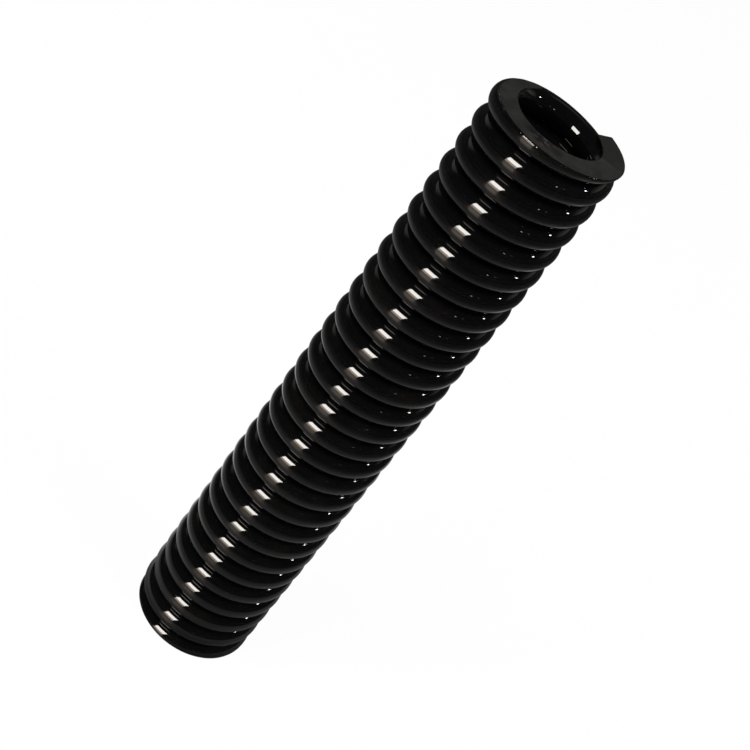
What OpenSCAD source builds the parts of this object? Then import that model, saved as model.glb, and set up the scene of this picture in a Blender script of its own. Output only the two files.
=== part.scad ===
/* [Wire] */
// Diameter of the round wire
wire_d = 5; // [4:0.1:6.5]

/* [Coil] */
// Clear bore that the hose slides through
bore_d = 16.3; // [14:0.1:24]
// Gap between one turn and the next
turn_gap = 0.1; // [0.1:0.1:2]
// Length between the two ground ends
free_length = 138; // [100:1:170]

/* [Ground ends] */
// Thickness left on the wire's tip at the top
top_tip = 1.05; // [0.6:0.05:1.6]
// Thickness left on the wire's tip at the bottom
bottom_tip = 0.8; // [0.6:0.05:1.6]
// Direction of the top tip, turned from +X
top_tip_angle = 51; // [0:1:359]

/* [Hidden] */
$fn = 48;

// Rise of the wire in one turn
pitch = wire_d + turn_gap;
// Radius of the wire's centre line
coil_r = (bore_d + wire_d) / 2;
outer_r = coil_r + wire_d / 2;
// How far the centre line runs past the ground faces
top_overrun = wire_d / 2 - top_tip;
bottom_overrun = wire_d / 2 - bottom_tip;
// Room round the coil in what is ground off
grind_room = 1;

// The wire is a chain of flat quarter arcs, each rolled about the wire's own line at its joint
arc_angle = 90;
half_arc = arc_angle / 2;
near_tilt = atan(pitch / (4 * coil_r * sin(half_arc) * 2));
near_half = atan(tan(half_arc) / cos(near_tilt));
wanted_tilt = atan(pitch * near_half / (360 * coil_r * sin(near_half)));
wanted_roll = 2 * asin(sin(wanted_tilt) * sin(near_half));

// The roll's sine and cosine have six places, and are the nearest pair that makes a true turn
places = 1000000;
spread = 100;
function six_places(x) = round(x * places) / places;
function cosine_of(s) = six_places(sqrt(1 - s * s));
sines = [for (k = [-spread : spread]) six_places(sin(wanted_roll) + k / places)];
misfits = [for (s = sines) abs(s * s + cosine_of(s) * cosine_of(s) - 1)];
roll_sin = sines[search(min(misfits), misfits)[0]];
roll_cos = cosine_of(roll_sin);

// Tilt of each arc's plane, the angle it covers seen along the coil, and its rise
half_roll_square = (1 - roll_cos) / 2;
arc_tilt = asin(sqrt(2 * half_roll_square / (1 + half_roll_square)));
half_step = atan(tan(half_arc) / cos(arc_tilt));
arc_r = round(1000 * coil_r * sin(half_step) / (sin(half_arc) * cos(arc_tilt))) / 1000;
arc_shift = coil_r * cos(half_step) - arc_r * cos(half_arc);
rise = 2 * arc_r * sin(half_arc) * sin(arc_tilt);

// Arcs from tip to tip, the last one a part of an arc
arcs = (free_length + top_overrun + bottom_overrun) / rise;
first_angle = top_tip_angle - arcs * 2 * half_step;

// One flat arc of the wire, from the origin along +Y
module wire_arc(share) {
    translate([-arc_r, 0, 0])
        rotate_extrude(angle = arc_angle * share)
            translate([arc_r, 0])
                circle(d = wire_d);
}

// The arc that lies a number of joints further along the wire
module arc_along(joints, share) {
    if (joints > 0)
        multmatrix([[0, -1, 0, -arc_r], [roll_cos, 0, roll_sin, arc_r], [-roll_sin, 0, roll_cos, 0]])
            arc_along(joints - 1, share);
    else
        wire_arc(share);
}

// The wire as wound, with the first arc's start at the bottom tip
module wound_wire() {
    rotate([0, 0, first_angle + half_step])
        translate([arc_shift, 0, rise / 2 - bottom_overrun])
            rotate([arc_tilt, 0, 0])
                rotate([0, 0, -half_arc])
                    translate([arc_r, 0, 0])
                        union() {
                            for (joints = [0 : ceil(arcs) - 1])
                                arc_along(joints, min(arcs - joints, 1));
                        }
}

// What is ground off past one end of the coil
module ground_off(bottom) {
    side = 2 * (outer_r + grind_room);
    translate([-side / 2, -side / 2, bottom])
        cube([side, side, pitch + wire_d]);
}

// The whole spring: one wire, wound right-handed, with both ends ground flat
module coil_spring() {
    color("#1f1f20")
        difference() {
            wound_wire();
            ground_off(free_length);
            ground_off(-pitch - wire_d);
        }
}

coil_spring();
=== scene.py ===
import bpy
import bmesh
import math
from mathutils import Matrix, Vector


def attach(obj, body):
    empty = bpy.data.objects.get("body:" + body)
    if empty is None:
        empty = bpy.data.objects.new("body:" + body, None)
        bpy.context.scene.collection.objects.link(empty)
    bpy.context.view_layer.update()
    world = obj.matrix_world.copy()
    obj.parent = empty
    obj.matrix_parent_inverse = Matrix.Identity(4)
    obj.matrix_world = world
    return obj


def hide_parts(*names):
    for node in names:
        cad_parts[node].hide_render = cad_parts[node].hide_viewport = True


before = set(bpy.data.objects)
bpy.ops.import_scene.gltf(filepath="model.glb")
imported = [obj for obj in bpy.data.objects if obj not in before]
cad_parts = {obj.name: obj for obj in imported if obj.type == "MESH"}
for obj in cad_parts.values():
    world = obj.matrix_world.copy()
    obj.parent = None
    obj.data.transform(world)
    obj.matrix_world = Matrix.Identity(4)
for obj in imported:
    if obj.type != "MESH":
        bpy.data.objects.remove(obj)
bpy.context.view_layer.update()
scene = bpy.context.scene
scene.view_settings.view_transform = "Standard"
print("frame loaded", list(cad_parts))

# Camera, looking along +Y and down, and turned on its own axis so that the coil leans right
view = {
    "place": (0.000622, -0.243522, 0.236733),
    "turn": 0.0231,  # degrees to the left of +Y
    "tilt": 33.4226,  # degrees below the horizon
    "roll": 37.5224,  # degrees
    "lens": 74.4036,  # millimetres, as is the sensor
    "sensor": 36.0,
    "clip": (0.01, 20.0),
}


def makeCamera():
    data = bpy.data.cameras.new("photoCamera")
    data.lens = view["lens"]
    data.sensor_width = view["sensor"]
    data.clip_start, data.clip_end = view["clip"]
    obj = bpy.data.objects.new("photoCamera", data)
    scene.collection.objects.link(obj)
    turn = Matrix.Rotation(math.radians(view["turn"]), 4, "Z")
    tilt = Matrix.Rotation(math.radians(90.0 - view["tilt"]), 4, "X")
    roll = Matrix.Rotation(math.radians(view["roll"]), 4, "Z")
    obj.matrix_world = Matrix.Translation(view["place"]) @ turn @ tilt @ roll
    scene.camera = obj
    print("camera placed")


makeCamera()


# Small helpers for the node trees
def newMaterial(name):
    mat = bpy.data.materials.new(name)
    mat.use_nodes = True
    mat.node_tree.nodes.clear()
    return mat, mat.node_tree


# A socket takes a plain value or the output of another node
def feed(tree, socket, value):
    if isinstance(value, bpy.types.NodeSocket):
        tree.links.new(value, socket)
    else:
        socket.default_value = value


def addNode(tree, kind, sockets):
    node = tree.nodes.new(kind)
    for key, value in sockets.items():
        feed(tree, node.inputs[key], value)
    return node


# Eases from the first level to the second as the source crosses the range
def easeNode(tree, source, across, levels):
    node = addNode(tree, "ShaderNodeMapRange", {
        "Value": source,
        "From Min": across[0], "From Max": across[1],
        "To Min": levels[0], "To Max": levels[1],
    })
    node.interpolation_type = "SMOOTHSTEP"
    return node.outputs["Result"]


def mathNode(tree, operation, first, second):
    node = tree.nodes.new("ShaderNodeMath")
    node.operation = operation
    feed(tree, node.inputs[0], first)
    feed(tree, node.inputs[1], second)
    return node.outputs["Value"]


def vectorNode(tree, operation, source, other=None):
    node = tree.nodes.new("ShaderNodeVectorMath")
    node.operation = operation
    feed(tree, node.inputs[0], source)
    if other is not None:
        feed(tree, node.inputs[1], other)
    single = operation in ("DISTANCE", "DOT_PRODUCT", "LENGTH")
    return node.outputs["Value" if single else "Vector"]


def mixColour(tree, share, first, second):
    node = tree.nodes.new("ShaderNodeMix")
    node.data_type = "RGBA"
    feed(tree, node.inputs["Factor"], share)
    colours = [socket for socket in node.inputs if socket.type == "RGBA"]
    for socket, value in zip(colours, (first, second)):
        feed(tree, socket, value)
    return next(socket for socket in node.outputs if socket.type == "RGBA")


def noiseNode(tree, place, pattern):
    scale, detail, roughness = pattern
    node = addNode(tree, "ShaderNodeTexNoise", {
        "Vector": place, "Scale": scale, "Detail": detail, "Roughness": roughness,
    })
    return node.outputs["Fac"]


def objectPlace(tree):
    return tree.nodes.new("ShaderNodeTexCoord").outputs["Object"]


# 1 for rays straight from the camera or through glass, which see the background white
def seenStraight(tree, path):
    return mathNode(tree, "MAXIMUM", path.outputs["Is Camera Ray"], path.outputs["Is Transmission Ray"])


def towardsSky(azimuth, elevation):
    az, el = math.radians(azimuth), math.radians(elevation)
    return Vector((math.sin(az) * math.cos(el), -math.cos(az) * math.cos(el), math.sin(el)))


def cosines(angles):
    return [math.cos(math.radians(angle)) for angle in angles]


# Joins a coat's colour, gloss and bump to its shader
def finishCoat(tree, look, colour, rough, height, depth):
    bump = addNode(tree, "ShaderNodeBump", {"Strength": 1.0, "Distance": depth, "Height": height})
    shader = addNode(tree, "ShaderNodeBsdfPrincipled", {
        "Base Color": colour,
        "Roughness": rough,
        "Specular IOR Level": look["specular"],
        "Normal": bump.outputs["Normal"],
    })
    addNode(tree, "ShaderNodeOutputMaterial", {"Surface": shader.outputs["BSDF"]})


# Gloss black stoved coat on the wire, which gathers in small lumps along the ground edges
wireCoat = {
    "black": (0.0014, 0.0014, 0.0015, 1.0),
    "worn": (0.0030, 0.0027, 0.0024, 1.0),
    "patch": (140.0, 4.0, 0.6),  # scale, detail and roughness of a pattern
    "peel": (1400.0, 2.0, 0.5),
    "lump": (900.0, 2.0, 0.5),
    "peelDepth": 0.000001,
    "lumpDepth": 0.00020,
    "wornAcross": (0.45, 0.75),  # of the patch pattern
    "glossAcross": (0.3, 0.7),
    "gloss": (0.035, 0.065),
    "specular": 0.5,
}


def makeWireCoat(name, pattern, depth):
    mat, tree = newMaterial(name)
    place = objectPlace(tree)
    patch = noiseNode(tree, place, wireCoat["patch"])
    worn = easeNode(tree, patch, wireCoat["wornAcross"], (0.0, 1.0))
    colour = mixColour(tree, worn, wireCoat["black"], wireCoat["worn"])
    rough = easeNode(tree, patch, wireCoat["glossAcross"], wireCoat["gloss"])
    finishCoat(tree, wireCoat, colour, rough, noiseNode(tree, place, pattern), depth)
    return mat


# The same coat over the ground ends, duller, mottled and smudged
endCoat = {
    "dark": (0.0125, 0.0125, 0.0116, 1.0),
    "pale": (0.0205, 0.0206, 0.0188, 1.0),
    "smudge": (0.0340, 0.0280, 0.0250, 1.0),
    "smear": (0.0045, 0.0042, 0.0042, 1.0),
    "mottle": (260.0, 4.0, 0.6),  # scale, detail and roughness of a pattern
    "blotch": (900.0, 4.0, 0.6),
    "grain": (5200.0, 4.0, 0.6),
    "grainDepth": 0.000003,
    "paleAcross": (0.32, 0.68),  # of the mottle
    "smudgeAcross": (0.40, 0.62),  # of the blotches
    "smudgeAt": (-0.0009, -0.0094, 0.1380),
    "smudgeReach": (0.0010, 0.0034),
    "smearsAt": [(-0.0034, -0.0086, 0.1380), (0.0019, -0.0100, 0.1380)],
    "smearReach": (0.0004, 0.0021),
    "smearShare": 0.75,
    "fadeY": (-0.0040, -0.0008),  # painted sheen: grows paler up to a faint line
    "lineY": (-0.0004, -0.0002),
    "facetSideX": (0.0020, 0.0060),
    "facetSheenShare": 0.4,
    "facetShadeShare": -0.8,  # painted shade: darker past the line
    "glossAcross": (0.3, 0.7),
    "gloss": (0.50, 0.62),
    "specular": 0.3,
}


def makeEndCoat():
    mat, tree = newMaterial("endCoat")
    place = objectPlace(tree)
    mottle = noiseNode(tree, place, endCoat["mottle"])
    tone = easeNode(tree, mottle, endCoat["paleAcross"], (0.0, 1.0))
    # Painted sheen and shade: a faint line across the ring near the tip, with a paler side and a darker
    # one, where the ground face turns a little and takes the light differently
    axes = addNode(tree, "ShaderNodeSeparateXYZ", {"Vector": place}).outputs
    paintedFacetSheen = easeNode(tree, axes["Y"], endCoat["fadeY"], (0.0, endCoat["facetSheenShare"]))
    line = easeNode(tree, axes["Y"], endCoat["lineY"], (1.0, 0.0))
    paintedFacetShade = easeNode(tree, axes["Y"], endCoat["lineY"], (0.0, endCoat["facetShadeShare"]))
    side = easeNode(tree, axes["X"], endCoat["facetSideX"], (0.0, 1.0))
    paintedFacetTone = mathNode(tree, "ADD", mathNode(tree, "MULTIPLY", paintedFacetSheen, line), paintedFacetShade)
    tone = mathNode(tree, "ADD", tone, mathNode(tree, "MULTIPLY", paintedFacetTone, side))
    colour = mixColour(tree, tone, endCoat["dark"], endCoat["pale"])
    # A brown smudge by the inner edge at the front, with a dark smear on each side
    blotch = noiseNode(tree, place, endCoat["blotch"])
    brown = easeNode(tree, blotch, endCoat["smudgeAcross"], (0.0, 1.0))
    marked = mixColour(tree, brown, endCoat["smear"], endCoat["smudge"])
    away = vectorNode(tree, "DISTANCE", place, endCoat["smudgeAt"])
    near = easeNode(tree, away, endCoat["smudgeReach"], (1.0, 0.0))
    colour = mixColour(tree, near, colour, marked)
    for spot in endCoat["smearsAt"]:
        away = vectorNode(tree, "DISTANCE", place, spot)
        near = easeNode(tree, away, endCoat["smearReach"], (endCoat["smearShare"], 0.0))
        colour = mixColour(tree, near, colour, endCoat["smear"])
    rough = easeNode(tree, mottle, endCoat["glossAcross"], endCoat["gloss"])
    grain = noiseNode(tree, place, endCoat["grain"])
    finishCoat(tree, endCoat, colour, rough, grain, endCoat["grainDepth"])
    return mat


# One wire wound close, with both ends ground flat
coil = {
    "wire": 0.0050700,
    "meanRadius": 0.010597,
    "pitch": 0.0050882,
    "length": 0.138,
    "topTip": 51.0,  # degrees round from +X
    "topRun": 0.0014466,  # how far the wire's middle passes the top before it ends
    "bottomRun": 0.001696,
    "topLift": 0.000319,  # the last turns stand a little off the rest
    "liftTurns": (8.5, 0.9),  # turns before the top tip, where it starts and is full
    "sides": 40,
    "stepsPerTurn": 80,
    "seam": 0.0001,  # of the pitch, where copied turns meet
    "onCut": 0.00000001,  # points this close to a cut count as on it
    "sliver": 0.00034,  # shorter edges that end on a cut are taken up by it
    "edgeRound": 0.00024,
    "edgeSegments": 3,
    "edgeAngle": 32.0,  # degrees, a flatter edge stays as it is
    "empty": 0.000001,  # shorter edges left by the rounding go
}
wireFinish, endFinish, edgeFinish = range(3)  # order of the coil's materials


def boundaryLoops(bm):
    return [edge for edge in bm.edges if edge.is_boundary]


def grindEnd(bm, height, outward):
    geom = bm.verts[:] + bm.edges[:] + bm.faces[:]
    bmesh.ops.bisect_plane(
        bm, geom=geom, dist=coil["onCut"], plane_co=(0.0, 0.0, height),
        plane_no=(0.0, 0.0, outward), clear_outer=True,
    )
    # Points of the wire that lie very close to the cut go into it, so that no sliver faces stay
    level = {vert for edge in boundaryLoops(bm) for vert in edge.verts}
    nearest = {}
    for vert in [v for v in bm.verts if v in level]:
        for edge in vert.link_edges:
            other = edge.other_vert(vert)
            short = edge.calc_length()
            if other in level or short >= coil["sliver"]:
                continue
            if other not in nearest or short < nearest[other][1]:
                nearest[other] = (vert, short)
    bmesh.ops.weld_verts(bm, targetmap={other: pair[0] for other, pair in nearest.items()})
    rim = boundaryLoops(bm)
    made = bmesh.ops.contextual_create(bm, geom=rim)
    for face in made["faces"]:
        face.material_index = endFinish
        face.smooth = False
    print("ground end at", height, "faces", len(made["faces"]), "rim", len(rim))


def windOn(bm, loop, turns):
    steps = round(turns * coil["stepsPerTurn"])
    made = bmesh.ops.spin(
        bm, geom=loop, cent=(0.0, 0.0, 0.0), axis=(0.0, 0.0, 1.0),
        dvec=(0.0, 0.0, coil["pitch"] * turns / steps), angle=turns * 2 * math.pi, steps=steps,
        use_merge=False, use_duplicate=False,
    )
    return made["geom_last"]


# Eases the last turns up, by how many turns each point is from the top tip
def liftTop(bm, startZ):
    begin, full = coil["liftTurns"]
    tip = math.radians(coil["topTip"])
    for vert in bm.verts:
        part = (tip - math.atan2(vert.co.y, vert.co.x)) / (2 * math.pi) % 1.0
        whole = round((startZ - vert.co.z) / coil["pitch"] - part)
        share = min(max((begin - part - whole) / (begin - full), 0.0), 1.0)
        vert.co.z += coil["topLift"] * share * share * (3.0 - 2.0 * share)


def windCoil(bm, topZ):
    turns = (topZ + coil["bottomRun"]) / coil["pitch"]
    whole = math.floor(turns)
    lead = math.atan(coil["pitch"] / (2 * math.pi * coil["meanRadius"]))
    startTurn = math.radians(coil["topTip"]) - turns * 2 * math.pi
    # The wire's round section at the lower tip, square to the wire
    place = (
        Matrix.Rotation(startTurn, 4, "Z")
        @ Matrix.Translation((coil["meanRadius"], 0.0, -coil["bottomRun"]))
        @ Matrix.Rotation(lead, 4, "X")
        @ Matrix.Rotation(math.radians(90.0), 4, "X")
    )
    bmesh.ops.create_circle(
        bm, cap_ends=False, radius=coil["wire"] / 2, segments=coil["sides"], matrix=place,
    )
    loop = windOn(bm, bm.verts[:] + bm.edges[:], turns - whole)
    before = set(bm.faces)
    windOn(bm, loop, 1.0)
    # Further turns are copies of this one, one pitch up each
    turn = [face for face in bm.faces if face not in before]
    for count in range(1, whole):
        copy = bmesh.ops.duplicate(bm, geom=turn)["geom"]
        verts = [item for item in copy if isinstance(item, bmesh.types.BMVert)]
        bmesh.ops.translate(bm, vec=(0.0, 0.0, coil["pitch"] * count), verts=verts)
    bmesh.ops.remove_doubles(bm, verts=bm.verts[:], dist=coil["pitch"] * coil["seam"])
    print("wire wound", round(turns, 3), "turns", len(bm.faces), "faces")


# Rounds the sharp edges of the ground faces and of the two tips
def roundEdges(bm):
    limit = math.radians(coil["edgeAngle"])
    sharp = [edge for edge in bm.edges if edge.is_manifold and edge.calc_face_angle() > limit]
    rounded = bmesh.ops.bevel(
        bm, geom=sharp, offset=coil["edgeRound"], offset_type="OFFSET", affect="EDGES",
        segments=coil["edgeSegments"], profile=0.5, material=-1, clamp_overlap=False,
    )
    for face in rounded["faces"]:
        face.material_index = edgeFinish
        face.smooth = True
    bmesh.ops.dissolve_degenerate(bm, dist=coil["empty"], edges=bm.edges[:])
    print("edges rounded", len(sharp))


def makeCoil(finishes):
    topZ = coil["length"] + coil["topRun"] - coil["topLift"]
    bm = bmesh.new()
    windCoil(bm, topZ)
    liftTop(bm, topZ)
    bmesh.ops.holes_fill(bm, edges=boundaryLoops(bm), sides=0)
    bmesh.ops.recalc_face_normals(bm, faces=bm.faces[:])
    for face in bm.faces:
        face.material_index = wireFinish
        face.smooth = len(face.verts) == 4  # the flat tips have more corners
    grindEnd(bm, coil["length"], 1.0)
    grindEnd(bm, 0.0, -1.0)
    bmesh.ops.recalc_face_normals(bm, faces=bm.faces[:])
    roundEdges(bm)
    mesh = bpy.data.meshes.new("coil")
    bm.to_mesh(mesh)
    bm.free()
    for finish in finishes:
        mesh.materials.append(finish)
    obj = bpy.data.objects.new("coil", mesh)
    scene.collection.objects.link(obj)
    tris = sum(len(face.vertices) - 2 for face in mesh.polygons)
    print("coil made", len(mesh.polygons), "faces", tris, "triangles")
    return obj


coilPiece = makeCoil([
    makeWireCoat("wireCoat", wireCoat["peel"], wireCoat["peelDepth"]),
    makeEndCoat(),
    makeWireCoat("edgeCoat", wireCoat["lump"], wireCoat["lumpDepth"]),
])
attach(coilPiece, "root")
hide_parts("coil_spring")

# Pale floor that turns up into a low wall far out
floor = {
    "radius": 3.0,
    "wallTop": 1.3,
    "cove": 0.5,
    "coveSteps": 8,
    "spinSteps": 96,
    "seam": 0.000001,
    "drop": 0.00005,
    "colour": (0.92, 0.92, 0.92, 1.0),
    "white": (1.0, 1.0, 1.0, 1.0),
    "lift": 0.96,  # share of plain white under the shadow
    "farGloss": 0.02,  # what the gloss sees of the floor far out, and in the painted pools of light
    "paintedLightSpots": [
        {"at": (-0.010, 0.050, 0.0), "level": 0.19, "reach": (0.060, 0.260)},
        {"at": (-0.030, 0.060, 0.0), "level": 0.65, "reach": (0.010, 0.058)},
        {"at": (-0.020, 0.010, 0.0), "level": 0.25, "reach": (0.015, 0.045)},
        {"at": (0.075, 0.075, 0.0), "level": 0.20, "reach": (0.010, 0.060)},
        {"at": (0.100, 0.110, 0.0), "level": 0.30, "reach": (0.010, 0.050)},
    ],
    "footShadowGloss": 0.2,  # painted shadow: share of the spots' glow that is left right under the edge
    "footShadowReach": (0.013, 0.028),
    "stripAzimuth": -26.4,  # a painted tan glow on the floor below the window, seen in the gloss alone, which widens outwards
    "stripHalf": (11.5, 9.0),  # degrees, none past the first and full inside the second
    "stripFrom": (0.08, 0.26),
    "stripTo": (0.80, 1.30),
    "stripLevel": 0.9,
    "stripColour": (1.0, 0.84, 0.70, 1.0),
    "shine": (0.070, 0.059, 0.049, 1.0),  # the floor's own dull shine, seen in the gloss alone
    "noShine": (0.0, 0.0, 0.0, 1.0),
    "shineRough": 0.34,
}


def makeFloorPaint():
    mat, tree = newMaterial("floorPaint")
    place = objectPlace(tree)
    away = vectorNode(tree, "LENGTH", place)
    # What the gloss sees of the floor: painted pools of light, a painted shadow under the foot and a
    # painted tan glow below the window
    level = floor["farGloss"]
    for spot in floor["paintedLightSpots"]:
        fromSpot = vectorNode(tree, "DISTANCE", place, spot["at"])
        pale = easeNode(tree, fromSpot, spot["reach"], (spot["level"], 0.0))
        level = mathNode(tree, "ADD", level, pale)
    # Painted shadow under the coil's foot, in what the gloss sees of the floor
    clear = easeNode(tree, away, floor["footShadowReach"], (floor["footShadowGloss"], 1.0))
    level = mathNode(tree, "MULTIPLY", level, clear)
    ahead = vectorNode(tree, "NORMALIZE", place)
    facing = vectorNode(tree, "DOT_PRODUCT", ahead, towardsSky(floor["stripAzimuth"], 0.0))
    paintedTanGlow = easeNode(tree, facing, cosines(floor["stripHalf"]), (0.0, floor["stripLevel"]))
    begins = easeNode(tree, away, floor["stripFrom"], (0.0, 1.0))
    ends = easeNode(tree, away, floor["stripTo"], (1.0, 0.0))
    paintedTanGlow = mathNode(tree, "MULTIPLY", mathNode(tree, "MULTIPLY", paintedTanGlow, begins), ends)
    level = mathNode(tree, "ADD", level, paintedTanGlow)
    # White where it is seen straight
    path = tree.nodes.new("ShaderNodeLightPath")
    glossy = path.outputs["Is Glossy Ray"]
    plain = seenStraight(tree, path)
    strength = mathNode(tree, "MAXIMUM", plain, mathNode(tree, "MULTIPLY", level, glossy))
    # The painted tan glow tints the floor's glow in the gloss
    tan = mathNode(tree, "MULTIPLY", paintedTanGlow, glossy)
    glow = addNode(tree, "ShaderNodeEmission", {
        "Color": mixColour(tree, tan, floor["white"], floor["stripColour"]),
        "Strength": strength,
    })
    paint = addNode(tree, "ShaderNodeBsdfDiffuse", {"Color": floor["colour"]})
    seen = mathNode(tree, "MAXIMUM", plain, glossy)
    mix = addNode(tree, "ShaderNodeMixShader", {
        "Fac": mathNode(tree, "MULTIPLY", seen, floor["lift"]),
        1: paint.outputs["BSDF"],
        2: glow.outputs["Emission"],
    })
    shine = addNode(tree, "ShaderNodeBsdfGlossy", {
        "Color": mixColour(tree, glossy, floor["noShine"], floor["shine"]),
        "Roughness": floor["shineRough"],
    })
    both = addNode(tree, "ShaderNodeAddShader", {0: mix.outputs["Shader"], 1: shine.outputs["BSDF"]})
    addNode(tree, "ShaderNodeOutputMaterial", {"Surface": both.outputs["Shader"]})
    return mat


def makeFloor():
    bm = bmesh.new()
    radius, cove = floor["radius"], floor["cove"]
    points = [(0.0, 0.0), (radius - cove, 0.0)]
    for step in range(1, floor["coveSteps"] + 1):
        turn = math.radians(90.0 * step / floor["coveSteps"])
        points.append((radius - cove + cove * math.sin(turn), cove - cove * math.cos(turn)))
    points.append((radius, floor["wallTop"]))
    verts = [bm.verts.new((x, 0.0, z - floor["drop"])) for x, z in points]
    edges = [bm.edges.new(pair) for pair in zip(verts, verts[1:])]
    bmesh.ops.spin(
        bm, geom=verts + edges, cent=(0.0, 0.0, 0.0), axis=(0.0, 0.0, 1.0),
        angle=2 * math.pi, steps=floor["spinSteps"], use_merge=True,
    )
    bmesh.ops.remove_doubles(bm, verts=bm.verts[:], dist=floor["seam"])
    bmesh.ops.recalc_face_normals(bm, faces=bm.faces[:])
    mesh = bpy.data.meshes.new("floorSweep")
    bm.to_mesh(mesh)
    bm.free()
    mesh.materials.append(makeFloorPaint())
    obj = bpy.data.objects.new("floorSweep", mesh)
    scene.collection.objects.link(obj)
    return obj


floorPiece = makeFloor()
print("floor laid")

# Dim room with a few paler places behind the object
room = {
    "level": 0.035,
    "paleSides": [  # half is in degrees, none past the first and full inside the second
        {"azimuth": -140.0, "elevation": 16.0, "level": 0.45, "half": (32.0, 10.0)},
        {"azimuth": 132.0, "elevation": 10.0, "level": 0.42, "half": (30.0, 12.0)},
        {"azimuth": 169.0, "elevation": 50.0, "level": 0.40, "half": (9.0, 3.0)},
    ],
}


def makeRoom():
    world = bpy.data.worlds.new("room")
    world.use_nodes = True
    tree = world.node_tree
    tree.nodes.clear()
    towards = tree.nodes.new("ShaderNodeTexCoord").outputs["Generated"]
    # White where it is seen straight
    level = seenStraight(tree, tree.nodes.new("ShaderNodeLightPath"))
    for side in room["paleSides"]:
        middle = towardsSky(side["azimuth"], side["elevation"])
        facing = vectorNode(tree, "DOT_PRODUCT", towards, middle)
        pale = easeNode(tree, facing, cosines(side["half"]), (room["level"], side["level"]))
        level = mathNode(tree, "MAXIMUM", level, pale)
    sky = addNode(tree, "ShaderNodeBackground", {"Strength": level})
    addNode(tree, "ShaderNodeOutputWorld", {"Surface": sky.outputs["Background"]})
    scene.world = world
    print("room made")


makeRoom()

# The window and small far lamps show in the gloss alone, and soft lamps give the plain light
lamps = {
    "middle": (0.0, 0.0, 0.069),
    "top": (0.0, 0.0, 0.138),
    "wide": 180.0,  # degrees, the spread of a plain lamp
    "gloss": {
        "window": {
            "azimuth": -26.4, "elevation": 24.8, "away": 1.2, "aim": "middle",
            "size": (0.424, 0.524), "level": 21.5, "colour": (1.0, 0.955, 0.90), "spread": 180.0,
        },
        "sill": {
            "azimuth": -26.4, "elevation": 4.7, "away": 1.2, "aim": "middle",
            "size": (0.424, 0.300), "level": 6.0, "colour": (1.0, 0.86, 0.73), "spread": 180.0,
        },
        "sideLamp": {
            "azimuth": 104.9, "elevation": 40.1, "away": 0.9, "aim": "middle",
            "size": (0.042, 0.042), "level": 72.0, "colour": (0.92, 0.95, 1.0), "spread": 180.0,
        },
        "frontLamp": {
            "azimuth": 47.0, "elevation": 30.5, "away": 1.0, "aim": "top",
            "size": (0.040, 0.040), "level": 24.0, "colour": (1.0, 1.0, 1.0), "spread": 9.0,
        },
        "frontLampTwo": {
            "azimuth": 60.0, "elevation": 30.0, "away": 1.0, "aim": "top",
            "size": (0.040, 0.040), "level": 3.0, "colour": (1.0, 1.0, 1.0), "spread": 9.0,
        },
    },
    "soft": {
        "softKey": {"place": (-0.6, -0.7, 1.0), "size": 0.8, "watts": 19.0},
        "softFill": {"place": (0.8, -0.2, 0.8), "size": 0.8, "watts": 9.0},
    },
}


def makeLamp(name, place, aim, width, height, watts):
    data = bpy.data.lights.new(name, "AREA")
    data.shape = "RECTANGLE"
    data.size = width
    data.size_y = height
    data.energy = watts
    obj = bpy.data.objects.new(name, data)
    scene.collection.objects.link(obj)
    obj.rotation_mode = "QUATERNION"
    obj.rotation_quaternion = (Vector(aim) - Vector(place)).to_track_quat("-Z", "Y")
    obj.location = place
    obj.visible_camera = False
    return obj


# A narrow spread makes the same watts brighter, so they come down by as much
def wattsFor(spec):
    width, height = spec["size"]
    watts = spec["level"] * math.pi * width * height
    if spec["spread"] >= lamps["wide"]:
        return watts
    half = math.radians(spec["spread"] / 2)
    return watts * (math.tan(half) - half) / math.tan(half)


def makeGlossLamp(name, spec):
    aim = Vector(lamps[spec["aim"]])
    place = aim + towardsSky(spec["azimuth"], spec["elevation"]) * spec["away"]
    obj = makeLamp(name, place, aim, *spec["size"], wattsFor(spec))
    obj.data.color = spec["colour"]
    obj.data.spread = math.radians(spec["spread"])
    obj.visible_diffuse = False


def makeSoftLamp(name, spec):
    obj = makeLamp(name, spec["place"], lamps["middle"], spec["size"], spec["size"], spec["watts"])
    obj.visible_glossy = False


for name, spec in lamps["gloss"].items():
    makeGlossLamp(name, spec)
for name, spec in lamps["soft"].items():
    makeSoftLamp(name, spec)
print("lamps set")
